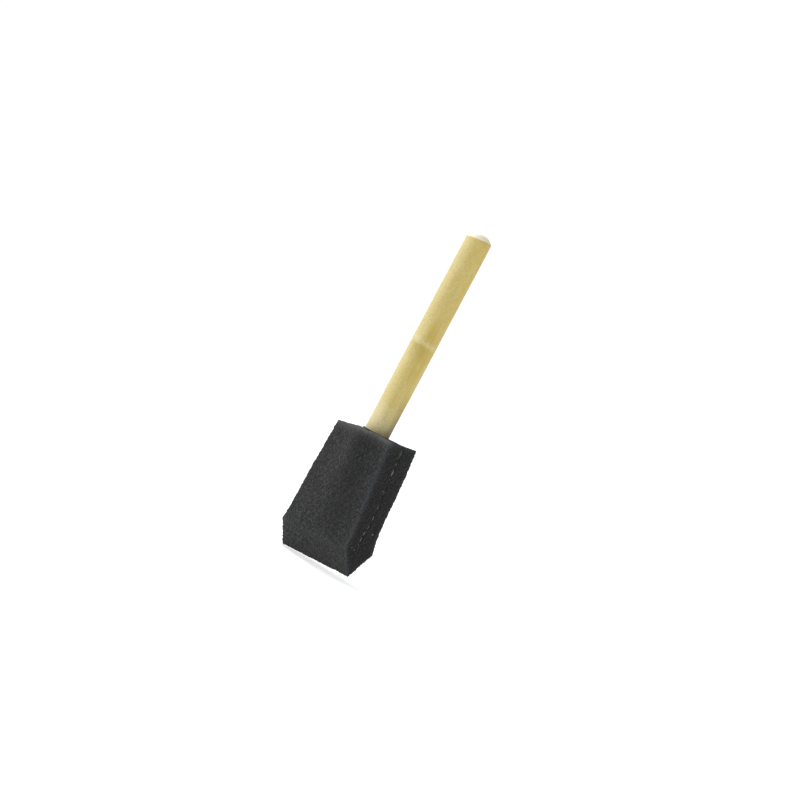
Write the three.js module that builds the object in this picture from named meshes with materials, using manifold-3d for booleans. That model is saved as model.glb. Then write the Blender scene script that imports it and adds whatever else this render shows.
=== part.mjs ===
// A 2 inch foam paint brush. A round dowel handle is pushed into the socket of
// a moulded plastic stiffener, and a block of foam, slit from its top, closes
// round the stiffener and is glued shut along both sides.
//
// Millimetres, +Z up. The brush stands on its chisel edge, which lies along X
// with its middle at the origin. Y is the thickness of the foam, front at -Y.

import * as THREE from "three";
import { mergeVertices } from "three/addons/utils/BufferGeometryUtils.js";
import Module from "manifold-3d";

// ---- Driving dimensions ----

const HEAD_THICKNESS = 20;
const HEAD_HEIGHT = 70.5;
const BEVEL_HEIGHT = 13; // where the chisel cuts begin
const EDGE_WIDTH = 50.8; // the chisel edge, the size the brush is sold by
const BEVEL_WIDTH = 48.6; // the head is a little narrower above the chisel
const TOP_WIDTH = 39.8; // and narrowest at the handle
const EDGE_FLAT = 0.6; // thickness left at the chisel edge

const HANDLE_DIAMETER = 13.5;
const OVERALL_LENGTH = 184.8;
const DOME_HEIGHT = 3;
const RIM_RADIUS = 0.5;
const SEATED_LENGTH = 25; // how far the dowel goes down into the head
const DOWEL_CHAMFER = 0.8; // on the seated end

const SOCKET_WALL = 1.1;
const SOCKET_FLOOR = 1.4;
const SOCKET_PROUD = 1.4; // the socket's rim stands this far above the foam
const RIM_WALL = 0.4; // the rim's outside is chamfered down to this wall
const BLADE_THICKNESS = 1.6;
const BLADE_WIDTH = 34;
const BLADE_BOTTOM = 17;
const BLADE_SHOULDER = 43; // above this the blade narrows towards the socket
const BLADE_TOP = 57;
const BLADE_CORNER = 4;
const RIB_WIDTH = 1.4;
const RIB_SPREAD = 5; // each rib's distance from the middle
const RIB_BOTTOM = 24;

const SLIT_BOTTOM = 15.5;
const SEAM_BOTTOM = 18;
const SEAM_TOP = 67;
const SEAM_THICKNESS = 1.4;
const SEAM_LUMP = 5; // from one lump of adhesive to the next
const SEAM_RECESS = 0.4; // the lumps' distance inside the foam's side
const SEAM_WAVE = 1.0; // how much deeper the bead lies between lumps

const GAP = 0.3; // left between neighbouring pieces
const ROUND_SIDES = 48;

// ---- Derived dimensions ----

const handleRadius = HANDLE_DIAMETER / 2;
const dowelBottom = HEAD_HEIGHT - SEATED_LENGTH;
const boreRadius = handleRadius + GAP;
const boreBottom = dowelBottom - GAP;
const socketRadius = boreRadius + SOCKET_WALL;
const socketBottom = boreBottom - SOCKET_FLOOR;
const socketTop = HEAD_HEIGHT + SOCKET_PROUD;
const slitWidth = BLADE_THICKNESS + 2 * GAP;
const seamInnerX = BLADE_WIDTH / 2 + 2 * GAP;

// Half the head's width at a height above the chisel.
function headHalfWidth(z) {
  const up = (z - BEVEL_HEIGHT) / (HEAD_HEIGHT - BEVEL_HEIGHT);
  return THREE.MathUtils.lerp(BEVEL_WIDTH, TOP_WIDTH, up) / 2;
}

// ---- Shapes and booleans ----

const wasm = await Module();
wasm.setup();

function toSolid(geometry) {
  const bare = geometry.clone();
  bare.deleteAttribute("normal");
  bare.deleteAttribute("uv");
  const merged = mergeVertices(bare);
  return new wasm.Manifold(
    new wasm.Mesh({
      numProp: 3,
      vertProperties: new Float32Array(merged.attributes.position.array),
      triVerts: new Uint32Array(merged.index.array),
    }),
  );
}

function toGeometry(solid) {
  const { vertProperties, triVerts } = solid.getMesh();
  const geometry = new THREE.BufferGeometry();
  geometry.setAttribute("position", new THREE.BufferAttribute(vertProperties, 3));
  geometry.setIndex(new THREE.BufferAttribute(triVerts, 1));
  geometry.computeVertexNormals();
  return geometry;
}

const alongX = new THREE.Vector3(1, 0, 0);
const alongY = new THREE.Vector3(0, 1, 0);
const alongZ = new THREE.Vector3(0, 0, 1);

function extrudeCentred(shape, depth) {
  const options = { depth, bevelEnabled: false, curveSegments: 8 };
  return new THREE.ExtrudeGeometry(shape, options).translate(0, 0, -depth / 2);
}

// An outline drawn in X and Z, given a thickness in Y about the XZ plane.
function frontPlate(shape, thickness) {
  const turn = new THREE.Matrix4().makeBasis(alongX, alongZ, alongY.clone().negate());
  return extrudeCentred(shape, thickness).applyMatrix4(turn);
}

// An outline drawn in Y and Z, given a width in X about the YZ plane.
function sidePlate(shape, width) {
  const turn = new THREE.Matrix4().makeBasis(alongY, alongZ, alongX);
  return extrudeCentred(shape, width).applyMatrix4(turn);
}

function uprightCylinder(radius, bottom, top, topRadius = radius) {
  const height = top - bottom;
  return new THREE.CylinderGeometry(topRadius, radius, height, ROUND_SIDES)
    .rotateX(Math.PI / 2)
    .translate(0, 0, bottom + height / 2);
}

function outline(points) {
  return new THREE.Shape(points.map(([across, up]) => new THREE.Vector2(across, up)));
}

// ---- Handle ----

function handleGeometry() {
  const rimHeight = OVERALL_LENGTH - DOME_HEIGHT;
  const domeRadius = (handleRadius ** 2 + DOME_HEIGHT ** 2) / (2 * DOME_HEIGHT);
  const domeCentre = OVERALL_LENGTH - domeRadius;
  const profile = [
    new THREE.Vector2(0, dowelBottom),
    new THREE.Vector2(handleRadius - DOWEL_CHAMFER, dowelBottom),
    new THREE.Vector2(handleRadius, dowelBottom + DOWEL_CHAMFER),
    new THREE.Vector2(handleRadius, rimHeight - RIM_RADIUS),
  ];
  const domeSteps = 8;
  for (let step = 0; step < domeSteps; step++) {
    const radius = (handleRadius - RIM_RADIUS / 2) * (1 - step / domeSteps);
    const height = domeCentre + Math.sqrt(domeRadius ** 2 - radius ** 2);
    profile.push(new THREE.Vector2(radius, height));
  }
  profile.push(new THREE.Vector2(0, OVERALL_LENGTH));
  return new THREE.LatheGeometry(profile, ROUND_SIDES).rotateX(Math.PI / 2);
}

// ---- Stiffener ----

function bladeShape(clearance) {
  const half = BLADE_WIDTH / 2 + clearance;
  const bottom = BLADE_BOTTOM - clearance;
  const corner = BLADE_CORNER + clearance;
  const shape = new THREE.Shape();
  shape.moveTo(-half + corner, bottom);
  shape.lineTo(half - corner, bottom);
  shape.absarc(half - corner, bottom + corner, corner, -Math.PI / 2, 0);
  shape.lineTo(half, BLADE_SHOULDER);
  shape.lineTo(socketRadius + clearance, BLADE_TOP);
  shape.lineTo(-socketRadius - clearance, BLADE_TOP);
  shape.lineTo(-half, BLADE_SHOULDER);
  shape.absarc(-half + corner, bottom + corner, corner, -Math.PI, -Math.PI / 2);
  return shape;
}

// A pair of wedges, one on each face of the blade, that run up to the socket.
function ribGeometry(side, clearance) {
  const tall = socketRadius - 2 + clearance;
  const low = BLADE_THICKNESS / 2 + clearance;
  const shape = outline([
    [-low, RIB_BOTTOM - clearance],
    [low, RIB_BOTTOM - clearance],
    [tall, socketBottom],
    [tall, socketBottom + SOCKET_FLOOR / 2],
    [-tall, socketBottom + SOCKET_FLOOR / 2],
    [-tall, socketBottom],
  ]);
  return sidePlate(shape, RIB_WIDTH + 2 * clearance).translate(side * RIB_SPREAD, 0, 0);
}

// The stiffener inside the foam, grown by a clearance and not yet bored.
function stiffenerBody(clearance) {
  const radius = socketRadius + clearance;
  const socket = uprightCylinder(radius, socketBottom - clearance, HEAD_HEIGHT);
  const blade = frontPlate(bladeShape(clearance), BLADE_THICKNESS + 2 * clearance);
  return toSolid(socket)
    .add(toSolid(blade))
    .add(toSolid(ribGeometry(-1, clearance)))
    .add(toSolid(ribGeometry(1, clearance)));
}

function stiffenerGeometry() {
  const rim = uprightCylinder(socketRadius, HEAD_HEIGHT, socketTop, boreRadius + RIM_WALL);
  const bore = uprightCylinder(boreRadius, boreBottom, socketTop + 1);
  return toGeometry(stiffenerBody(0).add(toSolid(rim)).subtract(toSolid(bore)));
}

// ---- Foam head ----

function foamGeometry() {
  const front = outline([
    [-EDGE_WIDTH / 2, 0],
    [EDGE_WIDTH / 2, 0],
    [BEVEL_WIDTH / 2, BEVEL_HEIGHT],
    [TOP_WIDTH / 2, HEAD_HEIGHT],
    [-TOP_WIDTH / 2, HEAD_HEIGHT],
    [-BEVEL_WIDTH / 2, BEVEL_HEIGHT],
  ]);
  const side = outline([
    [-EDGE_FLAT / 2, 0],
    [EDGE_FLAT / 2, 0],
    [HEAD_THICKNESS / 2, BEVEL_HEIGHT],
    [HEAD_THICKNESS / 2, HEAD_HEIGHT],
    [-HEAD_THICKNESS / 2, HEAD_HEIGHT],
    [-HEAD_THICKNESS / 2, BEVEL_HEIGHT],
  ]);
  const slitHeight = HEAD_HEIGHT + 1 - SLIT_BOTTOM;
  const slit = new THREE.BoxGeometry(EDGE_WIDTH + 2, slitWidth, slitHeight).translate(
    0,
    0,
    SLIT_BOTTOM + slitHeight / 2,
  );
  const block = toSolid(frontPlate(front, HEAD_THICKNESS + 2)).intersect(
    toSolid(sidePlate(side, EDGE_WIDTH + 2)),
  );
  return toGeometry(block.subtract(toSolid(slit)).subtract(stiffenerBody(GAP)));
}

// ---- Glue seams ----

// A flat bead in the slit, beside the blade: straight inside, lumpy outside.
function seamGeometry(side) {
  const steps = 48;
  const points = [
    [seamInnerX, SEAM_TOP],
    [seamInnerX, SEAM_BOTTOM],
  ];
  for (let step = 0; step <= steps; step++) {
    const z = THREE.MathUtils.lerp(SEAM_BOTTOM, SEAM_TOP, step / steps);
    const between = 0.5 - 0.5 * Math.cos((2 * Math.PI * (z - SEAM_BOTTOM)) / SEAM_LUMP);
    points.push([headHalfWidth(z) - SEAM_RECESS - SEAM_WAVE * between, z]);
  }
  const bead = frontPlate(outline(points), SEAM_THICKNESS);
  return side > 0 ? bead : bead.rotateZ(Math.PI);
}

// ---- Assembly ----

const bamboo = new THREE.MeshStandardMaterial({
  color: 0xcdb97a,
  roughness: 0.55,
  metalness: 0,
});
const plastic = new THREE.MeshStandardMaterial({
  color: 0x17161a,
  roughness: 0.45,
  metalness: 0,
});
const foam = new THREE.MeshStandardMaterial({
  color: 0x3b3b3d,
  roughness: 1,
  metalness: 0,
});
const adhesive = new THREE.MeshStandardMaterial({
  color: 0xc9cdd0,
  roughness: 0.35,
  metalness: 0,
});

const brush = new THREE.Group();

function addPiece(name, geometry, material) {
  const piece = new THREE.Mesh(geometry, material);
  piece.name = name;
  brush.add(piece);
}

addPiece("handle", handleGeometry(), bamboo);
addPiece("stiffener", stiffenerGeometry(), plastic);
addPiece("foam_head", foamGeometry(), foam);
addPiece("glue_seam_right", seamGeometry(1), adhesive);
addPiece("glue_seam_left", seamGeometry(-1), adhesive);

export default brush;
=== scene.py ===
import math

import bpy
import numpy as np
from mathutils import Matrix, Vector, noise


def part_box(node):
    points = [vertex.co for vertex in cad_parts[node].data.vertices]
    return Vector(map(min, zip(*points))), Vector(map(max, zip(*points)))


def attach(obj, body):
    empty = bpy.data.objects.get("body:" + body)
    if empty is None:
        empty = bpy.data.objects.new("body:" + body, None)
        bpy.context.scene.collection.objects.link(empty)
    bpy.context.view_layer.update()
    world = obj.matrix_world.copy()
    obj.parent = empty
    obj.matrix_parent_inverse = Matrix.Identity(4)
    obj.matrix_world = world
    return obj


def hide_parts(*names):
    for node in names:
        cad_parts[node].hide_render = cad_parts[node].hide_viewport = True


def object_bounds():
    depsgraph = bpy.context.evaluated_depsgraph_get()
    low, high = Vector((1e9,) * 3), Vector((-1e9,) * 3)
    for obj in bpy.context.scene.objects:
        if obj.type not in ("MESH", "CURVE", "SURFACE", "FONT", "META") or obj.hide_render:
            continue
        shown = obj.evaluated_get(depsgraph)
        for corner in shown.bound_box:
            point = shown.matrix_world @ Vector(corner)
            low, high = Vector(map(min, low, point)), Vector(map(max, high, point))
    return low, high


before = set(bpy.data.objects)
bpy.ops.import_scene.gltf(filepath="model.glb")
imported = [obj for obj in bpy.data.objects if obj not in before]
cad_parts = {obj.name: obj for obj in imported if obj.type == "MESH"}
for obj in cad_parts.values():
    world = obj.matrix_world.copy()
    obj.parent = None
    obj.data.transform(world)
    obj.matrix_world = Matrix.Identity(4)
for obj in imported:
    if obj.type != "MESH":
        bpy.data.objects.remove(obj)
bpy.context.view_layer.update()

# A 2 inch foam paint brush: a block of charcoal foam, slit and glued round a plastic
# stiffener, on a bamboo dowel. Lengths below are millimetres until a mesh is finished.
MM = 0.001


def box_mm(node):
    low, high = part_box(node)
    return np.array(low) / MM, np.array(high) / MM


FOAM_LOW, FOAM_HIGH = box_mm("foam_head")
ROD_LOW, ROD_HIGH = box_mm("handle")
HEAD_TOP = FOAM_HIGH[2]
HALF_THICK = FOAM_HIGH[1]
ROD_RADIUS = ROD_HIGH[0]
ROD_TOP = ROD_HIGH[2]

# The head's outline: half its width at the chisel edge, at the top of the chisel
# cuts and at its top
HALF_EDGE = FOAM_HIGH[0]
BEVEL_HEIGHT = 13.0
HALF_BEVEL = 24.3
HALF_TOP = 19.9
CHISEL_HALF = 0.3  # half the thickness left at the chisel edge

# The plastic stiffener inside it, and the slit that it stands in
SOCKET_RADIUS = 8.2
BLADE_HALF = 17.0
SLIT_HALF = 1.1

# ---------------------------------------------------------------- small helpers


def smooth(value, low, high):
    """0 below low, 1 above high, and an easy curve between."""
    t = np.clip((np.asarray(value, float) - low) / (high - low), 0, 1)
    return t * t * (3 - 2 * t)


def hump(value, centre, width):
    return np.exp(-(((np.asarray(value, float) - centre) / width) ** 2))


def wander(points, pitch, seed=0.0):
    """Smooth noise from about -1 to 1 that changes over pitch millimetres."""
    shift = Vector((seed, 1.7 * seed, -0.6 * seed))
    return np.array([noise.noise(Vector(p) / pitch + shift) for p in points])


def cells(points, pitch, seed=0.0):
    """Distance to the nearest cell's middle, in cells."""
    shift = Vector((seed, -seed, 0.5 * seed))
    return np.array([noise.voronoi(Vector(p) / pitch + shift)[0][0] for p in points])


def new_piece(name, verts, faces, material):
    mesh = bpy.data.meshes.new(name)
    mesh.from_pydata((np.asarray(verts) * MM).tolist(), [], faces)
    mesh.validate()
    mesh.shade_smooth()
    mesh.materials.append(material)
    piece = bpy.data.objects.new(name, mesh)
    bpy.context.scene.collection.objects.link(piece)
    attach(piece, "root")
    return piece


def store(piece, name, values):
    attribute = piece.data.attributes.new(name, "FLOAT", "POINT")
    attribute.data.foreach_set("value", np.asarray(values, np.float32))


# ---------------------------------------------------------------- material helpers


class Nodes:
    """A short way to write a material's nodes."""

    def __init__(self, name):
        self.material = bpy.data.materials.new(name)
        self.material.use_nodes = True
        self.tree = self.material.node_tree
        self.shader = self.tree.nodes["Principled BSDF"]

    def add(self, kind, inputs=None, **settings):
        node = self.tree.nodes.new("ShaderNode" + kind)
        for key, value in settings.items():
            setattr(node, key, value)
        for key, value in (inputs or {}).items():
            self.put(node.inputs[key], value)
        return node

    def put(self, socket, value):
        if isinstance(value, bpy.types.NodeSocket):
            self.tree.links.new(value, socket)
        else:
            socket.default_value = value

    def object_mm(self, stretch=(1, 1, 1)):
        """Object coordinates in millimetres, squeezed by stretch."""
        place = self.add("TexCoord").outputs["Object"]
        scale = tuple(s / MM for s in stretch)
        return self.add("Mapping", {"Vector": place, "Scale": scale}).outputs[0]

    def noise(self, where, pitch, detail=3.0, rough=0.6):
        """Cloudy noise; pitch is in the units of where."""
        values = {"Vector": where, "Scale": 1 / pitch, "Detail": detail, "Roughness": rough}
        return self.add("TexNoise", values).outputs["Fac"]

    def cells(self, where, pitch):
        """The distance to the nearest of the points scattered about pitch apart."""
        values = {"Vector": where, "Scale": 1 / pitch}
        return self.add("TexVoronoi", values).outputs["Distance"]

    def range(self, value, low, high, to_low=0.0, to_high=1.0):
        limits = {"Value": value, "From Min": low, "From Max": high}
        limits.update({"To Min": to_low, "To Max": to_high})
        return self.add("MapRange", limits, interpolation_type="SMOOTHSTEP").outputs[0]

    def math(self, operation, first, second):
        return self.add("Math", {0: first, 1: second}, operation=operation).outputs[0]

    def mix(self, factor, first, second):
        """The first colour, and the second where factor is 1."""
        node = self.add("Mix", data_type="RGBA")
        colours = [s for s in node.inputs if s.type == "RGBA"]
        self.put(node.inputs[0], factor)
        for socket, value in zip(colours, (first, second)):
            self.put(socket, (*value, 1) if isinstance(value, tuple) else value)
        return [s for s in node.outputs if s.type == "RGBA"][0]

    def attribute(self, name):
        return self.add("Attribute", attribute_name=name).outputs["Fac"]

    def bump(self, height, distance, strength):
        values = {"Height": height, "Distance": distance * MM, "Strength": strength}
        return self.add("Bump", values).outputs[0]

    def finish(self, **sockets):
        for name, value in sockets.items():
            self.put(self.shader.inputs[name.replace("_", " ")], value)
        return self.material


# ---------------------------------------------------------------- materials


def foam_material():
    """Charcoal open-cell foam: dark pits, paler struts, edges paler with dust and a painted
    highlight, and painted shade on the sides and front.
    """
    pore, strut = (0.0070, 0.0073, 0.0078), (0.072, 0.072, 0.070)
    blotch_dark, brown_dust = (0.018, 0.019, 0.021), (0.034, 0.032, 0.029)
    side_shade_dark, front_shade_dark = (0.008, 0.009, 0.010), (0.008, 0.0085, 0.0095)
    rubbed_pale, edge_dust_and_highlight = (0.200, 0.193, 0.178), (0.068, 0.078, 0.095)

    n = Nodes("charcoal_foam")
    place = n.object_mm()
    pits = n.cells(place, 0.95)
    fine = n.cells(place, 0.5)
    grain = n.noise(place, 1.1, 2.0)
    blotch = n.noise(place, 3.2)
    broad = n.noise(place, 14.0, 2.0, 0.5)
    struts = n.math("ADD", n.range(pits, 0.28, 0.55), n.range(fine, 0.24, 0.50, 0.0, 0.6))
    struts = n.math("MULTIPLY", struts, n.range(grain, 0.34, 0.66, 0.25, 1.1))
    colour = n.mix(n.math("MULTIPLY", struts, 0.62), pore, strut)
    colour = n.mix(n.range(blotch, 0.32, 0.68, 0.0, 0.45), colour, blotch_dark)
    colour = n.mix(n.range(broad, 0.35, 0.65, 0.0, 0.35), colour, brown_dust)
    # painted shade: the side faces are painted darker
    colour = n.mix(n.math("MULTIPLY", n.attribute("across"), 0.62), colour, side_shade_dark)
    # painted shade on the front, right of its middle and below the handle
    colour = n.mix(n.attribute("front_shade"), colour, front_shade_dark)
    rubbed = n.math("MULTIPLY", n.attribute("rubbed"), n.range(blotch, 0.25, 0.6, 0.6, 1.0))
    colour = n.mix(rubbed, colour, rubbed_pale)
    # the edges are paler: partly dust, partly a painted highlight where they catch the light
    edge = n.math("MULTIPLY", n.attribute("edge"), n.range(blotch, 0.25, 0.6, 0.45, 1.0))
    colour = n.mix(n.math("MULTIPLY", edge, 0.75), colour, edge_dust_and_highlight)
    height = n.math("ADD", struts, n.math("MULTIPLY", grain, 0.8))
    return n.finish(
        Base_Color=colour,
        Roughness=0.97,
        Specular_IOR_Level=0.12,
        Sheen_Weight=0.06,
        Sheen_Roughness=0.6,
        Normal=n.bump(height, 0.25, 0.9),
    )


def bamboo_material():
    """Pale bamboo: fibre streaks along the dowel that show as dots at its end."""
    straw, honey, speck_gold = (0.670, 0.550, 0.190), (0.590, 0.430, 0.080), (0.46, 0.33, 0.07)
    mottle_dull, bundle_brown = (0.50, 0.40, 0.12), (0.38, 0.27, 0.08)
    fibre_light, pale_and_painted_light = (0.68, 0.59, 0.27), (0.79, 0.71, 0.42)
    joint_gold, foot_shade_brown = (0.46, 0.34, 0.08), (0.15, 0.085, 0.02)
    sanded, end_dot = (0.95, 0.91, 0.70), (0.55, 0.42, 0.20)

    n = Nodes("pale_bamboo")
    place = n.object_mm()
    bundles = n.cells(n.object_mm((1, 1, 0.022)), 0.85)
    fibres = n.noise(n.object_mm((1, 1, 0.05)), 0.28)
    tone = n.noise(n.object_mm((1, 1, 0.3)), 6.5, rough=0.55)
    mottle = n.noise(place, 1.6)
    speckle = n.noise(place, 0.75, 2.0)
    colour = n.mix(n.range(tone, 0.32, 0.68), straw, honey)
    colour = n.mix(n.range(mottle, 0.35, 0.7, 0.0, 0.25), colour, mottle_dull)
    colour = n.mix(n.range(bundles, 0.34, 0.12, 0.0, 0.22), colour, bundle_brown)
    colour = n.mix(n.range(fibres, 0.35, 0.75, 0.0, 0.28), colour, fibre_light)
    # the joint's band is really paler; the pale near the foot and on the side facing the key lamp is
    # painted light
    colour = n.mix(n.math("MULTIPLY", n.attribute("pale"), 0.75), colour, pale_and_painted_light)
    colour = n.mix(n.range(speckle, 0.42, 0.62, 0.0, 0.30), colour, speck_gold)
    colour = n.mix(n.math("MULTIPLY", n.attribute("dark"), 0.55), colour, joint_gold)
    # painted shade low on the back right side, next to the foam
    colour = n.mix(n.math("MULTIPLY", n.attribute("foot_shade"), 0.85), colour, foot_shade_brown)
    colour = n.mix(n.math("MULTIPLY", n.attribute("cut"), 0.85), colour, sanded)
    dots = n.math("MULTIPLY", n.range(bundles, 0.30, 0.14), n.attribute("cut"))
    colour = n.mix(n.math("MULTIPLY", dots, 0.35), colour, end_dot)
    height = n.math("ADD", fibres, n.math("MULTIPLY", mottle, 0.3))
    return n.finish(
        Base_Color=colour,
        Roughness=n.range(fibres, 0.3, 0.8, 0.42, 0.56),
        Specular_IOR_Level=0.5,
        Normal=n.bump(height, 0.04, 0.6),
    )


def plastic_material():
    """Dark moulded plastic with a faint spark-eroded grain."""
    near_black, brown_black = (0.007, 0.006, 0.006), (0.013, 0.011, 0.010)

    n = Nodes("dark_plastic")
    place = n.object_mm()
    grain = n.noise(place, 0.25, 2.0)
    cloud = n.noise(place, 5.0, 2.0, 0.5)
    colour = n.mix(n.range(cloud, 0.35, 0.7), near_black, brown_black)
    return n.finish(
        Base_Color=colour,
        Roughness=n.range(grain, 0.3, 0.7, 0.46, 0.60),
        Specular_IOR_Level=0.2,
        Normal=n.bump(grain, 0.02, 0.6),
    )


def glue_material():
    """Set adhesive: milky, a little blue, patchy with foam dust."""
    milky, dull, foam_dust = (0.205, 0.24, 0.26), (0.11, 0.13, 0.145), (0.045, 0.048, 0.050)

    n = Nodes("milky_glue")
    place = n.object_mm()
    cloud = n.noise(place, 1.1)
    dust = n.noise(place, 0.4, 2.0)
    colour = n.mix(n.range(cloud, 0.3, 0.7), milky, dull)
    colour = n.mix(n.range(dust, 0.55, 0.75), colour, foam_dust)
    return n.finish(
        Base_Color=colour,
        Roughness=n.range(dust, 0.3, 0.7, 0.3, 0.55),
        Subsurface_Weight=0.15,
        Subsurface_Scale=0.0006,
        Normal=n.bump(cloud, 0.08, 0.6),
    )


# ---------------------------------------------------------------- glue along the seams

SEAM_LOW = 15.0
SEAM_HIGH = 69.8
THIN_GLUE = 0.03  # half its thickness between the lumps
# Lumps of glue, from the top down: height of the middle, length and half thickness
RIGHT_LUMPS = [
    (66.4, 3.6, 0.22), (60.8, 1.4, 0.20), (56.0, 2.0, 0.60), (52.6, 0.8, 0.22), (45.2, 0.9, 0.38),
    (37.3, 1.8, 0.24), (31.2, 1.5, 0.36), (26.1, 1.6, 0.24), (22.8, 1.5, 0.60), (19.2, 1.7, 0.52),
    (15.9, 1.3, 0.26),
]
LEFT_LUMPS = [
    (67.2, 1.2, 0.34), (61.0, 3.0, 0.14), (53.6, 1.1, 0.48), (51.6, 0.5, 0.25), (41.5, 2.2, 0.15),
    (36.2, 0.6, 0.30), (30.4, 1.3, 0.46), (27.6, 0.5, 0.20), (18.9, 1.6, 0.40),
]
# Crumbs of glue on the side: distance behind the head's middle, height and half length
RIGHT_CRUMBS = [(4.0, 23.4, 0.55), (-4.2, 13.4, 0.34), (-6.3, 14.2, 0.28), (-1.2, 45.9, 0.30)]
LEFT_CRUMBS = [(3.4, 48.0, 0.40), (-5.6, 31.5, 0.33), (1.8, 17.3, 0.42)]


def bead_half(z, lumps):
    """The glue's half thickness at the foam's side: a thin line with lumps on it."""
    z = np.asarray(z, float)
    half = np.full_like(z, THIN_GLUE)
    for middle, length, thick in lumps:
        half = np.maximum(half, thick * hump(z, middle, length * 0.75))
    return half


def seam_drift(x, z):
    """How far behind the middle the right seam runs: near its foot it runs in front."""
    at_foot = smooth(z, 29, 20) * smooth(z, 13.5, 16)
    return -2.2 * at_foot * smooth(x, BLADE_HALF, 21)


def side_x(z):
    """The head's half width at a height."""
    z = np.asarray(z, float)
    upper = HALF_BEVEL + (HALF_TOP - HALF_BEVEL) * (z - BEVEL_HEIGHT) / (HEAD_TOP - BEVEL_HEIGHT)
    lower = HALF_EDGE + (HALF_BEVEL - HALF_EDGE) * z / BEVEL_HEIGHT
    return np.where(z > BEVEL_HEIGHT, upper, lower)


# ---------------------------------------------------------------- how the head really sits

# At three heights: the chisel edge, the top of its cuts, and the block's top
ROWS = [0, BEVEL_HEIGHT, HEAD_TOP]
SLANT = [0.078, 0.100, 0.099]  # how steeply the row climbs to the right
SHIFT = [3.35, 3.2, 1.2]  # how far the row's middle stands to the right
RISE = [0.75, 0.60, 0.05]  # how far it stands too high
NARROWING = [0.020, 0.006, 0.020]  # the part of its width that is missing
BACK_RISE = 0.075  # how steeply the right side climbs to the back


def seat_head(points):
    """Moves points from the square CAD head to the slightly crooked real one."""
    x, y, z = points.T
    slant, shift = np.interp(z, ROWS, SLANT), np.interp(z, ROWS, SHIFT)
    rise, narrow = np.interp(z, ROWS, RISE), np.interp(z, ROWS, NARROWING)
    back = BACK_RISE * y * smooth(x, 0, HALF_TOP)
    seated_z = z + slant * x + rise + back
    return np.stack([x * (1 - narrow) + shift, y, seated_z], axis=1)


# ---------------------------------------------------------------- foam head

FOAM_STEP = 0.41  # spacing of the foam's mesh
CLOSED_GAP = 0.02  # half of what is left of the slit where it is closed
SOCKET_SWELL = 1.6  # how far the faces stand out over the socket
BLADE_SWELL = 0.85  # and over the blade
BACK_PINCH = 0.13  # the part of its thickness that the back loses along the glued sides
FRONT_PINCH = 0.04
PUCKER = 0.22  # how far the seam pulls the side in
CROWN = 0.95  # how far the socket holds the block's top up
PIT_PITCH = 1.15  # from one cut cell to the next
PIT_DEPTH = 0.30


def remeshed(node, step):
    """A CAD node's shape as an even grid of quads, in millimetres."""
    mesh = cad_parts[node].data.copy()
    mesh.transform(Matrix.Scale(1 / MM, 4))
    source = bpy.data.objects.new("remesh_source", mesh)
    bpy.context.scene.collection.objects.link(source)
    weld = source.modifiers.new("weld", "WELD")
    weld.merge_threshold = 0.001
    even = source.modifiers.new("even", "REMESH")
    even.mode = "VOXEL"
    even.voxel_size = step
    bpy.context.view_layer.update()
    shown = source.evaluated_get(bpy.context.evaluated_depsgraph_get())
    result = bpy.data.meshes.new_from_object(shown)
    points = np.empty(len(result.vertices) * 3)
    result.vertices.foreach_get("co", points)
    faces = [tuple(p.vertices) for p in result.polygons]
    bpy.data.objects.remove(source)
    bpy.data.meshes.remove(mesh)
    bpy.data.meshes.remove(result)
    return points.reshape(-1, 3), faces


def normals_of(points, faces):
    """Each point's outward direction."""
    mesh = bpy.data.meshes.new("normals")
    mesh.from_pydata(points.tolist(), [], faces)
    normals = np.empty(len(points) * 3)
    mesh.vertices.foreach_get("normal", normals)
    bpy.data.meshes.remove(mesh)
    return normals.reshape(-1, 3)


def face_distances(points):
    """How far inside each of the head's outer planes a point lies, nearest first."""
    x, y, z = np.abs(points[:, 0]), np.abs(points[:, 1]), points[:, 2]
    bevel_angle = math.atan2(HALF_THICK, BEVEL_HEIGHT)
    side = side_x(z) - x
    broad = HALF_THICK - y
    bevel = (z * HALF_THICK / BEVEL_HEIGHT + CHISEL_HALF - y) * math.cos(bevel_angle)
    top = HEAD_TOP - z
    return np.sort(np.stack([side, broad, bevel, top]), axis=0)


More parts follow.
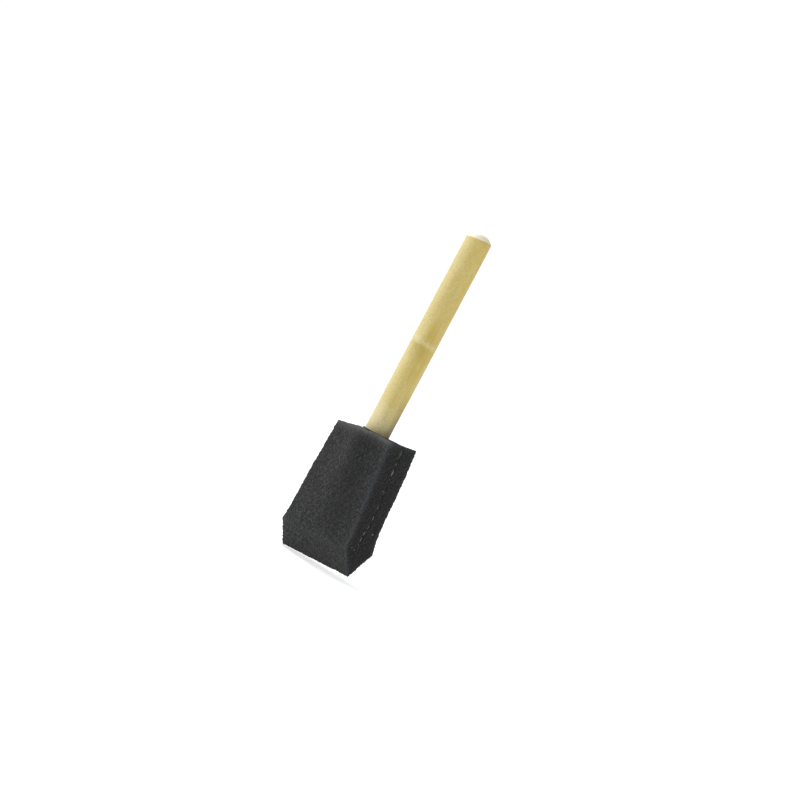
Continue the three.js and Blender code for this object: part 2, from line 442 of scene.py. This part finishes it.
def shape_foam(points):
    """Closes the slit on its glue, swells the faces over the stiffener and lifts the top."""
    x, y, z = points.T.copy()
    size_x, size_y, sign_y = np.abs(x), np.abs(y), np.sign(y)
    inside_side = side_x(z) - size_x

    # the two halves meet beside the blade, held apart only by the glue's lumps
    beside = smooth(size_x, BLADE_HALF + 0.4, BLADE_HALF + 2.0)
    above = smooth(z, 56, 60) * smooth(size_x, SOCKET_RADIUS + 0.4, SOCKET_RADIUS + 2.6)
    closed = np.maximum(beside, above) * smooth(z, 11.5, 15.0)
    lumps = np.where(x > 0, bead_half(z, RIGHT_LUMPS), bead_half(z, LEFT_LUMPS))
    glued = CLOSED_GAP + 0.8 * lumps * smooth(inside_side, 2.2, 0.4)
    half_gap = SLIT_HALF + (glued - SLIT_HALF) * closed
    outer_y = half_gap + (size_y - SLIT_HALF) * (HALF_THICK - half_gap) / (HALF_THICK - SLIT_HALF)
    y = sign_y * np.where(size_y < SLIT_HALF, size_y * half_gap / SLIT_HALF, outer_y)

    # the right seam isn't straight
    y = y + seam_drift(x, z) * (1 - np.abs(y) / HALF_THICK)

    # beside the blade the block is thinner than at the chisel, more so at its back
    thinner = smooth(size_x, 12, 21) * smooth(z, 12, 21) * smooth(z, 56, 24)
    y = y * (1 - np.where(y > 0, BACK_PINCH, FRONT_PINCH) * thinner)

    # the foam is stretched over the socket, and a little over the blade
    over_socket = hump(x, 0.5, 7.8) * smooth(z, 34, 52)
    over_blade = hump(x, -2, 15.0) * smooth(z, 12, 34)
    bulge = SOCKET_SWELL * over_socket + BLADE_SWELL * over_blade
    y = y + sign_y * bulge * smooth(size_y, SOCKET_RADIUS, HALF_THICK)

    # it is pulled in a little along the glued side
    pucker = hump(size_y, 0, 1.1) * smooth(inside_side, 3.0, 0.2) * smooth(z, 14, 20)
    x = x - np.sign(x) * PUCKER * pucker

    # the top rises where the socket holds it up; its front edge dips before the socket's
    # rim and covers the handle's foot to the right of that
    top = smooth(z, HEAD_TOP - 12, HEAD_TOP)
    lip = 0.05 * hump(x, -3.2, 2.0) - 0.75 * hump(x, 2.4, 2.6) + 0.60 * hump(x, 11, 5.5)
    z = z + top * (CROWN * hump(x, -1, 10) + lip * smooth(-y, 3, 8))
    return np.stack([x, y, z], axis=1)


def uneven(square):
    """How far the hand-cut block's faces stand out from flat ones."""
    return 0.10 + 0.22 * wander(square, 13.0, 3.1) + 0.10 * wander(square, 4.5, 7.7)


def store_wear_and_painted_light(foam, square, edge):
    """Stores the painted shade on the foam's sides and front, where it is rubbed pale, and its edges'
    dust and painted highlight.
    """
    x, y, z = square.T
    # painted shade: the colour near the side faces is painted darker
    across = smooth(side_x(z) - np.abs(x), 0.6, 0.2)
    store(foam, "across", across * (1 - edge))

    # the top of the front is rubbed pale
    from_top_edge = np.maximum(HEAD_TOP - z, HALF_THICK + y)
    store(foam, "rubbed", np.exp(-from_top_edge / 1.4) * (0.6 + 0.4 * hump(x, 4, 13)))

    # painted shade: the front is darker right of its middle, and most below the handle
    front = smooth(-y, HALF_THICK - 2.5, HALF_THICK - 0.8) * smooth(z, 8, 24)
    right_half = 0.42 * hump(x, 9, 10)
    below_handle = 0.5 * hump(x, 2.5, 5.2) * smooth(z, 46, 62)
    store(foam, "front_shade", front * np.maximum(right_half, below_handle))

    # the dust and painted highlight are fainter along the line where the chisel cuts begin than at
    # the corners
    bevel_line = smooth(z, 18, 15) * smooth(np.abs(x), 23, 20)
    store(foam, "edge", edge * (1 - 0.75 * bevel_line))


def make_foam(material):
    """The foam block: the CAD head's shape, remeshed, shaped, seated and pitted."""
    square, faces = remeshed("foam_head", FOAM_STEP)
    near = face_distances(square)
    outside = smooth(near[0], 0.9, 0.35)
    edge = np.exp(-near[1] / 0.75) * outside
    points = seat_head(shape_foam(square))

    # the faces aren't quite flat, and the edges stay as sharp as the CAD's
    normals = normals_of(points, faces)
    points = points + normals * ((uneven(square) + 0.2 * edge) * outside)[:, None]

    # cut cells: shallow pits, broken more deeply along the edges
    reach = 0.62  # of a pit, in cells
    pits = np.clip(reach - cells(square, PIT_PITCH, 5.0), 0, reach) / reach
    clumps = wander(square, 1.9, 11.0)
    depth = (PIT_DEPTH * pits + 0.08 * clumps) * (1 + 0.4 * edge)
    points = points - normals * (depth * outside)[:, None]

    foam = new_piece("foam_head_block", points, faces, material)
    store_wear_and_painted_light(foam, square, edge)
    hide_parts("foam_head")
    return foam


# ---------------------------------------------------------------- glue beads


def tube(path_count, ring_count):
    """Faces of a closed tube of rings, with a fan at each end."""
    faces = []
    for i in range(path_count - 1):
        for j in range(ring_count):
            a, b = i * ring_count + j, i * ring_count + (j + 1) % ring_count
            faces.append((a, b, b + ring_count, a + ring_count))
    start, end = path_count * ring_count, path_count * ring_count + 1
    last = (path_count - 1) * ring_count
    for j in range(ring_count):
        k = (j + 1) % ring_count
        faces.append((start, k, j))
        faces.append((end, last + j, last + k))
    return faces


def ring_angles(count):
    return np.arange(count) * 2 * math.pi / count


def bead(side, lumps):
    """A strip of glue in the slit, thin inside and lumpy where it meets the air."""
    ring_spacing, ring_count = 0.22, 24
    heights = np.arange(SEAM_LOW, SEAM_HIGH, ring_spacing)
    angles = ring_angles(ring_count)
    halves = bead_half(heights, lumps)
    faces_out = np.stack([side * side_x(heights), 0 * heights, heights], axis=1)
    # thin glue ends inside the foam, and lumps stand out of it
    surface = side_x(heights) + uneven(faces_out) - 0.22
    outer = surface - 0.55 + 0.62 * smooth(halves, 0.04, 0.13) + 0.25 * halves
    outer += 0.06 * wander(faces_out, 0.9, 4.0)
    rings = []
    inner = BLADE_HALF + 0.7
    for z, half, limit in zip(heights, halves, outer):
        middle, reach = (limit + inner) / 2, (limit - inner) / 2
        x = middle + reach * np.cos(angles)
        lens = THIN_GLUE + (half - THIN_GLUE) * smooth(x, limit - 1.5, limit - 0.3)
        y = np.sign(np.sin(angles)) * np.abs(np.sin(angles)) ** 0.6 * lens
        rings.append(np.stack([side * x, y, np.full(ring_count, z)], axis=1))
    points = np.concatenate(rings)
    points[:, 1] += 0.12 * wander(points * (0, 0, 1), 2.6, 8.0)
    points[:, 1] += seam_drift(points[:, 0], points[:, 2])
    caps = np.array([rings[0].mean(0) - (0, 0, 0.2), rings[-1].mean(0) + (0, 0, 0.2)])
    return np.concatenate([points, caps]), tube(len(heights), ring_count)


def crumb(side, behind, height, size, seed):
    """A flattened blob of glue on the foam's side."""
    ring_count, ring_total = 12, 7
    angles = ring_angles(ring_count)
    rings = []
    for tilt in np.radians(np.linspace(-80, 80, ring_total)):
        across, along = np.cos(tilt) * np.cos(angles), np.cos(tilt) * np.sin(angles)
        rings.append(np.stack([np.sin(tilt) + 0 * angles, across, along], axis=1))
    points = np.concatenate(rings + [[(-1, 0, 0), (1, 0, 0)]])
    points *= (1 + 0.35 * wander(points, 0.8, seed))[:, None]
    centre = np.array([[side * side_x(height), behind, height]])
    centre[0, 0] += side * (uneven(centre)[0] - 0.05)
    return points * (side * 0.28, 0.75 * size, size) + centre, tube(ring_total, ring_count)


def make_glue(name, node, side, lumps, crumbs, material):
    """One seam's bead and the crumbs of glue beside it, as one piece."""
    parts = [bead(side, lumps)]
    parts += [crumb(side, *place, seed) for seed, place in enumerate(crumbs)]
    points, faces = [], []
    for part_points, part_faces in parts:
        start = sum(len(p) for p in points)
        points.append(part_points)
        faces += [tuple(start + i for i in f) for f in part_faces]
    if side < 0:
        faces = [tuple(reversed(f)) for f in faces]
    glue = new_piece(name, seat_head(np.concatenate(points)), faces, material)
    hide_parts(node)
    return glue


# ---------------------------------------------------------------- handle

JOINT_HEIGHT = 122.3
PALE_SIDE = math.radians(-137)  # the way the side painted lighter faces, toward the key lamp
# the way the side with painted shade faces
SHADED_SIDE = math.radians(52)
GOLDEN_SIDE = math.radians(-60)
DOME_HEIGHT = 3.0
RIM_RADIUS = 0.5
END_TILT = 0.045  # the sanded end isn't quite square to the dowel
OFF_MIDDLE = (0.07, 0.07, 0)  # of the socket


def dowel_profile():
    """Radius and height from the seated end to the top of the dome."""
    bottom, rim_height = ROD_LOW[2], ROD_TOP - DOME_HEIGHT
    profile = [(0.02, bottom), (ROD_RADIUS - 2.5, bottom), (ROD_RADIUS - 0.8, bottom)]
    profile += [(ROD_RADIUS, z) for z in np.arange(bottom + 0.8, rim_height - RIM_RADIUS, 0.45)]
    for turn in np.radians(np.linspace(0, 60, 6)):
        inward = RIM_RADIUS * (1 - math.cos(turn))
        upward = RIM_RADIUS * (math.sin(turn) - 1)
        profile.append((ROD_RADIUS - inward, rim_height + upward))
    edge_radius, edge_height = profile[-1]
    rise = ROD_TOP - edge_height
    dome_radius = (edge_radius**2 + rise**2) / (2 * rise)
    for radius in edge_radius * np.linspace(1, 0.02, 28)[1:]:
        profile.append((radius, ROD_TOP - dome_radius + math.sqrt(dome_radius**2 - radius**2)))
    return profile


def make_handle(material):
    """The dowel: fibre ridges, a faint joint, a softened rim and a sanded dome."""
    around = 168
    profile = dowel_profile()
    angles = ring_angles(around)
    radii = np.array([p[0] for p in profile])[:, None]
    heights = np.array([p[1] for p in profile])[:, None] + 0 * angles[None, :]
    points = np.stack([radii * np.cos(angles), radii * np.sin(angles), heights], axis=2)
    ends = [(0, 0, ROD_LOW[2]), (0, 0, ROD_TOP)]
    points = np.concatenate([points.reshape(-1, 3), ends])
    x, y, z = points.T
    angle, radius = np.arctan2(y, x), np.hypot(x, y)
    radial = np.stack([x, y, 0 * z], axis=1) / np.maximum(radius, 0.01)[:, None]

    joint = JOINT_HEIGHT + 0.6 * np.cos(angle - PALE_SIDE) + 0.15 * np.sin(5 * angle)
    rise = z - joint
    on_side = smooth(radius, ROD_RADIUS - 1.2, ROD_RADIUS - 0.4)
    ridges = wander(points * (1 / 0.55, 1 / 0.55, 1 / 26), 1.0, 2.0)
    relief = 0.03 * ridges + 0.04 * wander(points, 16.0, 9.0)
    relief += 0.05 * hump(rise, 0.8, 1.3) - 0.03 * hump(rise, -0.8, 1.0)
    patchy = 0.5 + 0.5 * wander(points, 3.6, 2.5)
    rim_height = ROD_TOP - DOME_HEIGHT

    # pale: the joint's band really is; the foot, shaded by the foam, and the lit side get painted
    # light
    near_foot = smooth(z, HEAD_TOP + 19 + 1.5 * np.cos(angle + 2.2), HEAD_TOP + 13)
    band = 0.85 * hump(rise, 0.7, 1.8) * smooth(patchy, 0.2, 0.7)
    pale_and_painted_light = smooth(np.cos(angle - PALE_SIDE), -0.10, 0.70)
    foot_painted_light = near_foot * (0.45 + 0.65 * smooth(z, HEAD_TOP + 14, HEAD_TOP + 2))
    pale = np.clip(0.75 * band + foot_painted_light + 0.55 * pale_and_painted_light, 0, 1)
    # and more golden below the joint
    below_joint = smooth(-rise, 0.2, 1.6) * smooth(rise, -12, -2)
    golden = smooth(np.cos(angle - GOLDEN_SIDE), 0.6, 1.0)
    dark = below_joint * (0.45 * smooth(patchy, 0.2, 0.8) + 0.75 * golden)
    # painted shade on the side that faces back and to the right, thickest at the foam
    facing = smooth(np.cos(angle - SHADED_SIDE), 0.25, 0.95)
    foot_shade = facing * smooth(z, HEAD_TOP + 30, HEAD_TOP + 3) * (0.75 + 0.25 * patchy)
    cut = smooth(z, rim_height - 0.35, rim_height + 0.15)

    tilt = END_TILT * (x + y) * smooth(z, rim_height - 12, rim_height)
    tilt += 0.3 * smooth(z, rim_height, ROD_TOP)
    points = points + radial * (relief * on_side)[:, None]
    points += OFF_MIDDLE
    points[:, 2] += tilt
    rod = new_piece("bamboo_handle", points, tube(len(profile), around), material)
    store(rod, "pale", pale)
    store(rod, "dark", np.clip(dark, 0, 1))
    store(rod, "foot_shade", foot_shade)
    store(rod, "cut", cut)
    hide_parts("handle")
    return rod


# ---------------------------------------------------------------- object

foam = make_foam(foam_material())
glue = glue_material()
make_glue("glue_bead_right", "glue_seam_right", 1, RIGHT_LUMPS, RIGHT_CRUMBS, glue)
make_glue("glue_bead_left", "glue_seam_left", -1, LEFT_LUMPS, LEFT_CRUMBS, glue)
make_handle(bamboo_material())

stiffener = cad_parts["stiffener"]
stiffener.data.materials.clear()
stiffener.data.materials.append(plastic_material())

# ---------------------------------------------------------------- floor and light

FLOOR_SIZE = 8.0  # metres
AMBIENT = 0.36  # the white light from all round
BACKDROP = 1.05  # how bright the surroundings look behind the brush


def make_floor():
    """A white floor under the head's lowest corner, which only a shadow can darken."""
    half = FLOOR_SIZE / 2
    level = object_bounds()[0][2]
    mesh = bpy.data.meshes.new("floor")
    corners = [(-half, -half, level), (half, -half, level), (half, half, level), (-half, half, level)]
    mesh.from_pydata(corners, [], [(0, 1, 2, 3)])
    n = Nodes("white_floor")
    mesh.materials.append(
        n.finish(
            Base_Color=(0.85, 0.85, 0.85, 1),
            Roughness=1.0,
            Specular_IOR_Level=0.0,
            Emission_Color=(1, 1, 1, 1),
            Emission_Strength=0.42,
        )
    )
    floor = bpy.data.objects.new("floor", mesh)
    bpy.context.scene.collection.objects.link(floor)


def aim_sun(name, azimuth, height, strength, spread, colour):
    """A soft far light; azimuth 0 comes from -Y, and 90 from +X."""
    light = bpy.data.lights.new(name, "SUN")
    light.energy = strength
    light.angle = math.radians(spread)
    light.color = colour
    lamp = bpy.data.objects.new(name, light)
    a, h = math.radians(azimuth), math.radians(height)
    source = Vector((math.sin(a) * math.cos(h), -math.cos(a) * math.cos(h), math.sin(h)))
    lamp.rotation_euler = source.to_track_quat("Z", "Y").to_euler()
    bpy.context.scene.collection.objects.link(lamp)


def make_light():
    """White surroundings, and four soft suns."""
    world = bpy.data.worlds.new("studio")
    world.use_nodes = True
    nodes, links = world.node_tree.nodes, world.node_tree.links
    ambient = nodes["Background"]
    ambient.inputs["Color"].default_value = (1, 1, 1, 1)
    ambient.inputs["Strength"].default_value = AMBIENT
    backdrop = nodes.new("ShaderNodeBackground")
    backdrop.inputs["Color"].default_value = (1, 1, 1, 1)
    backdrop.inputs["Strength"].default_value = BACKDROP
    seen = nodes.new("ShaderNodeLightPath")
    pick = nodes.new("ShaderNodeMixShader")
    links.new(seen.outputs["Is Camera Ray"], pick.inputs[0])
    links.new(ambient.outputs[0], pick.inputs[1])
    links.new(backdrop.outputs[0], pick.inputs[2])
    links.new(pick.outputs[0], nodes["World Output"].inputs["Surface"])
    bpy.context.scene.world = world
    # azimuth, height, strength, spread and colour
    aim_sun("key", -62, 40, 2.0, 45, (0.98, 0.99, 1.0))
    aim_sun("top", -40, 80, 0.5, 60, (1.0, 1.0, 1.0))
    aim_sun("rim", -122, 28, 1.7, 40, (0.80, 0.90, 1.0))
    aim_sun("warm", 150, 22, 0.35, 40, (1.0, 0.75, 0.45))


make_floor()
make_light()
bpy.context.scene.view_settings.view_transform = "Standard"
bpy.context.scene.view_settings.look = "None"

# ---------------------------------------------------------------- camera

CAMERA_AZIMUTH = 42.74
CAMERA_HEIGHT = 1.0  # degrees above the plane across the handle
CAMERA_ROLL = 27.97
CAMERA_DISTANCE = 1109.4
AIM_HEIGHT = 90.0
AIM_RIGHT, AIM_UP = 3.24, 0.54  # where the picture's middle lies beside the handle
LENS = 99.0


def make_camera():
    """Looks at the brush from its front right, turned so that the brush leans."""
    a, e, r = (math.radians(v) for v in (CAMERA_AZIMUTH, CAMERA_HEIGHT, CAMERA_ROLL))
    ahead = Vector((-math.sin(a) * math.cos(e), math.cos(a) * math.cos(e), -math.sin(e)))
    level = Vector((math.cos(a), math.sin(a), 0))
    upward = level.cross(ahead)
    right = level * math.cos(r) + upward * math.sin(r)
    up = upward * math.cos(r) - level * math.sin(r)
    aim = Vector((0, 0, AIM_HEIGHT)) + right * AIM_RIGHT + up * AIM_UP
    lens = bpy.data.cameras.new("camera")
    lens.lens = LENS
    lens.sensor_width = 36.0
    lens.clip_start = 0.01
    camera = bpy.data.objects.new("camera", lens)
    place = (aim - ahead * CAMERA_DISTANCE) * MM
    turn = Matrix((right, up, -ahead)).transposed()
    camera.matrix_world = Matrix.Translation(place) @ turn.to_4x4()
    bpy.context.scene.collection.objects.link(camera)
    bpy.context.scene.camera = camera


make_camera()
